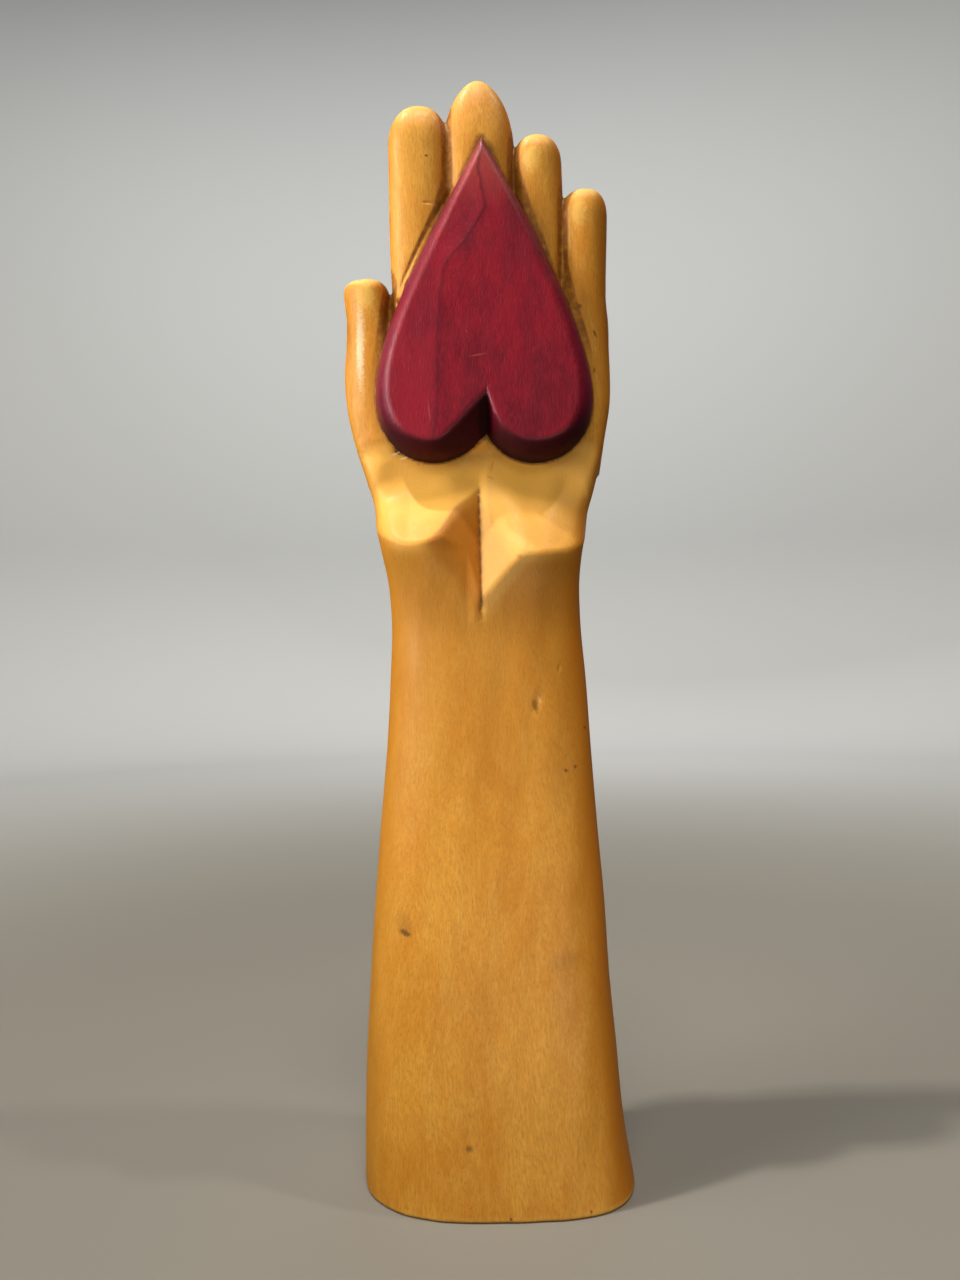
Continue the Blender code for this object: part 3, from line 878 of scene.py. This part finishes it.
def crimson_stain_and_painted_light(tree, place, up, grain, value):
    """The heart's stain: cloudy and streaked, with painted sheen making it lighter red on the thumb side
    of its seam, painted highlights paler at the apex and on the ridges, painted shade darker on the
    sideways bevels, under the lobes and in the cleft, and nearly black along its foot."""
    cloud = noise(tree, stretched(tree, place, (0.010, 0.010, 0.026)), 1.0, 3.0, 0.6)
    frayed_seam = sum_up(tree, "MULTIPLY_ADD", around_zero(tree, place, 300.0), 0.002, value["seam"])
    from_seam = sum_up(tree, "ABSOLUTE", frayed_seam)
    seam_line = fade(tree, from_seam, 0.0010, 0.0001, 0.0, 0.50)
    seam_line = times(tree, seam_line, fade(tree, up, 0.285, 0.312, 0.55, 1.0))
    return layered(tree, (0.145, 0.003, 0.012, 1), (
        (fade(tree, cloud, 0.30, 0.70), (0.265, 0.005, 0.016)),
        # painted sheen: lighter red on the thumb side of the seam
        (fade(tree, value["seam"], 0.0006, -0.0006, 0.0, 0.28), (0.35, 0.016, 0.032)),
        (fade(tree, grain["Fibres"], 0.45, 0.66, 0.0, 0.22), (0.42, 0.016, 0.036)),
        (fade(tree, grain["Fibres"], 0.45, 0.30, 0.0, 0.20), (0.09, 0.002, 0.010)),
        # painted highlight: paler towards the apex
        (fade(tree, up, 0.318, 0.345, 0.0, 0.60), (0.46, 0.075, 0.055)),
        (seam_line, (0.05, 0.004, 0.012)),
        # painted highlight: pale pinkish purple on the ridges
        (fade(tree, value["ridge"], 0.12, 0.45, 0.0, 0.22), (0.44, 0.050, 0.085)),
        # painted shade: darker on the bevels that face sideways
        (fade(tree, value["sideways"], -0.35, -0.85, 0.0, 0.60), (0.105, 0.004, 0.022)),
        (fade(tree, value["sideways"], 0.35, 0.85, 0.0, 0.60), (0.105, 0.004, 0.022)),
        (fade(tree, value["heart"], 0.0012, 0.0001, 0.0, 0.7), (0.03, 0.002, 0.008)),
        # painted shade: nearly black on surfaces that face down and in the cleft
        (fade(tree, value["downwards"], 0.04, 0.55, 0.0, 0.88), (0.030, 0.001, 0.003)),
        (fade(tree, value["hollow"], 0.25, 0.60, 0.0, 0.90), (0.02, 0.001, 0.002)),
    ))


def satin_finish(tree, shader, place, grain, value, stained):
    """Faint relief of the grain under satin varnish, glossier on the stain and dull below."""
    relief = sum_up(tree, "MULTIPLY_ADD", grain["Fibres"], 0.6, times(tree, grain["Pores"], -0.5))
    relief = sum_up(tree, "ADD", relief, times(tree, noise(tree, place, 260.0, 2.0, 0.5), 1.2))
    bump = add(tree, "Bump", {"Height": relief, "Strength": 1.0, "Distance": 0.00007}).outputs[0]
    tree.links.new(bump, shader.inputs["Normal"])
    dull = fade(tree, grain["Figure"], 0.3, 0.7, 0.56, 0.48)
    dull = sum_up(tree, "MULTIPLY_ADD", stained, -0.14, dull)
    below = fade(tree, value["downwards"], 0.15, 0.70)
    dull = sum_up(tree, "MULTIPLY_ADD", below, 0.40, dull, clamp=True)
    tree.links.new(dull, shader.inputs["Roughness"])
    coat = fade(tree, value["downwards"], 0.15, 0.60, 0.08, 0.0)
    tree.links.new(coat, shader.inputs["Coat Weight"])
    shader.inputs["Specular IOR Level"].default_value = 0.22
    shader.inputs["Coat Roughness"].default_value = 0.27
    shader.inputs["Coat IOR"].default_value = 1.48


def varnished_wood():
    """Pale close-grained wood under honey-coloured varnish, with the heart stained crimson; both colours
    also carry painted shade and painted light.
    """
    material = bpy.data.materials.new("varnished_wood")
    material.use_nodes = True
    tree = material.node_tree
    shader = tree.nodes["Principled BSDF"]
    place = add(tree, "TexCoord").outputs["Object"]
    value = {name: add(tree, "Attribute", attribute_name=name).outputs["Fac"]
             for name in ("heart_edge", "seam", "crease", "hollow", "ridge", "sideways", "downwards",
                          "cut_wall", "cut_line", "scoop", "heart")}
    apart = add(tree, "SeparateXYZ", {"Vector": place}).outputs
    up = apart["Z"]
    grain_nodes, spot_nodes = grain_group(), spot_group()
    grain = use_group(tree, grain_nodes, {"Place": place, "Thickness": 0.0006})
    finer_grain = use_group(tree, grain_nodes, {"Place": place, "Thickness": 0.0005})

    # marks have frayed rims and stay off the back of the arm
    behind = fade(tree, apart["Y"], 0.016, 0.020, 0.0, 2.0)
    rim = sum_up(tree, "ADD", around_zero(tree, place, 1400.0), behind)

    wood = varnish(tree, place, up, value, bare_wood_and_painted_light(tree, place, up, grain, value))
    wood = with_marks(tree, wood, WOOD_MARKS, spot_nodes, place, rim)
    # the heart's colour, which carries its painted shade, sheen and highlights
    stain = crimson_stain_and_painted_light(tree, place, up, finer_grain, value)
    stain = with_marks(tree, stain, HEART_MARKS, spot_nodes, place, rim)
    ragged = sum_up(tree, "MULTIPLY_ADD", around_zero(tree, place, 900.0), 0.0009, value["heart"])
    stained = fade(tree, ragged, -0.0001, 0.0002)
    colour = blend_colours(tree, stained, wood, stain)
    tree.links.new(colour, shader.inputs["Base Color"])
    satin_finish(tree, shader, place, grain, value, stained)
    return material


def backdrop_material():
    """Matt paper: grey-beige near the arm, lighter and cooler further off. The darker colour near the
    arm is partly painted shade that evens out the lamps' stronger light there.
    """
    material = bpy.data.materials.new("pale_backdrop")
    material.use_nodes = True
    tree = material.node_tree
    shader = tree.nodes["Principled BSDF"]
    place = add(tree, "TexCoord").outputs["Object"]
    distance = add(tree, "VectorMath", {0: place}, operation="LENGTH").outputs["Value"]
    away = fade(tree, distance, 0.25, 1.45)
    colour = blend_colours(tree, away, (0.24, 0.225, 0.195, 1), (0.80, 0.81, 0.80, 1))
    tree.links.new(colour, shader.inputs["Base Color"])
    shader.inputs["Roughness"].default_value = 0.9
    return material


def add_camera():
    """The camera of the photograph: level, turned a little about its own axis."""
    data = bpy.data.cameras.new("camera")
    data.sensor_width = 36
    data.lens = 27.03
    camera = bpy.data.objects.new("camera", data)
    bpy.context.scene.collection.objects.link(camera)
    camera.location = (-0.0025, -0.318, 0.174)
    camera.rotation_euler = (math.radians(90), math.radians(1.25), 0)
    bpy.context.scene.camera = camera


def add_light(name, place, aim, size, power, colour, spread):
    """A soft box of the given width and height that looks from its place at the aim. Its light
    fans out over the spread, in degrees."""
    data = bpy.data.lights.new(name, "AREA")
    data.shape = "RECTANGLE"
    data.size, data.size_y = size
    data.energy = power
    data.color = colour
    data.spread = math.radians(spread)
    light = bpy.data.objects.new(name, data)
    bpy.context.scene.collection.objects.link(light)
    light.location = place
    light.visible_camera = False
    light.rotation_euler = (Vector(aim) - Vector(place)).to_track_quat("-Z", "Y").to_euler()


def add_studio():
    """A round floor that curves up into a wall: a profile of radius and height turned about the
    arm's axis."""
    wall_radius, curve_radius, wall_height, sides = 1.5, 0.35, 1.9, 64
    turn = np.linspace(0, np.pi / 2, 13)[1:]
    floor = np.concatenate([[0.02], np.linspace(0.2, wall_radius - curve_radius, 6)])
    radii = np.concatenate([floor, wall_radius - curve_radius * (1 - np.sin(turn)), [wall_radius]])
    heights = np.concatenate([0 * floor, curve_radius * (1 - np.cos(turn)), [wall_height]])
    angles = np.linspace(0, 2 * np.pi, sides, endpoint=False)
    x = radii[:, None] * np.cos(angles)
    y = radii[:, None] * np.sin(angles)
    points = np.stack([x, y, np.broadcast_to(heights[:, None], x.shape)], axis=-1).reshape(-1, 3)
    rows, columns = np.meshgrid(np.arange(len(radii) - 1), np.arange(sides), indexing="ij")
    first = rows * sides + columns
    second = rows * sides + (columns + 1) % sides
    quads = np.stack([first, first + sides, second + sides, second], axis=-1).reshape(-1, 4)
    faces = [tuple(quad) for quad in quads.tolist()] + [tuple(range(sides))]
    mesh = bpy.data.meshes.new("studio")
    mesh.from_pydata(points.tolist(), [], faces)
    mesh.shade_smooth()
    studio = bpy.data.objects.new("studio", mesh)
    bpy.context.scene.collection.objects.link(studio)
    mesh.materials.append(backdrop_material())
    studio.visible_diffuse = False
    studio.visible_glossy = False
    return studio


def add_sky():
    """A dim even light from all around."""
    world = bpy.data.worlds.new("world")
    bpy.context.scene.world = world
    world.use_nodes = True
    background = world.node_tree.nodes["Background"]
    background.inputs["Color"].default_value = (0.85, 0.93, 1.0, 1.0)
    background.inputs["Strength"].default_value = 0.06
    bpy.context.scene.view_settings.view_transform = "Standard"


DAYLIGHT = (0.98, 0.99, 1.0)
SOFT_WHITE = (1.0, 0.99, 0.96)
LAMP_LIGHT = (1.0, 0.93, 0.82)

# Each light's place, aim, width and height, power in watts, colour and spread in degrees
LIGHTS = {
    "window": ((-0.75, -0.10, 0.40), (0, 0, 0.25), (0.40, 0.60), 1.20, DAYLIGHT, 180),
    "thumb side light": ((-0.45, -0.25, 0.35), (0, 0, 0.28), (0.20, 0.20), 0.20, SOFT_WHITE, 60),
    "high window": ((-0.50, -0.15, 0.60), (0, 0, 0.32), (0.20, 0.20), 0.22, SOFT_WHITE, 60),
    "room": ((0.0, -1.20, 0.60), (0, 0, 0.2), (1.0, 0.8), 1.10, DAYLIGHT, 180),
    "low fill": ((-0.05, -0.70, 0.03), (0, 0, 0.10), (0.60, 0.15), 0.26, (1.0, 0.96, 0.90), 100),
    "low right fill": (
        (0.35, -0.60, 0.03), (0.02, 0, 0.05), (0.30, 0.15), 0.10, (1.0, 0.94, 0.85), 50),
    "left lamp": ((-0.50, -0.02, 1.45), (0, 0.01, 0.2), (0.05, 0.05), 11, LAMP_LIGHT, 180),
    "right lamp": ((0.54, -0.02, 1.45), (0, 0.01, 0.2), (0.05, 0.05), 3.5, LAMP_LIGHT, 180),
    "top lamp": ((0.0, -0.25, 1.30), (0, 0, 0.2), (0.30, 0.30), 6.2, (1.0, 0.94, 0.85), 180),
    "back fill": ((0.25, 1.10, 0.70), (0, 0, 0.2), (0.80, 0.80), 2.2, (0.97, 0.98, 1.0), 180),
    "wall light": ((0.0, 0.45, 1.35), (0, 1.5, 0.45), (1.2, 0.3), 3.4, (0.97, 0.99, 1.0), 120),
}


def add_lights():
    """Two small lamps above both sides of the hand, and softer light from the left and above."""
    for name, settings in LIGHTS.items():
        add_light(name, *settings)


add_camera()
arm = carving()
arm.data.materials.append(varnished_wood())
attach(arm, "root")
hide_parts(NODE)
add_studio()
add_sky()
add_lights()
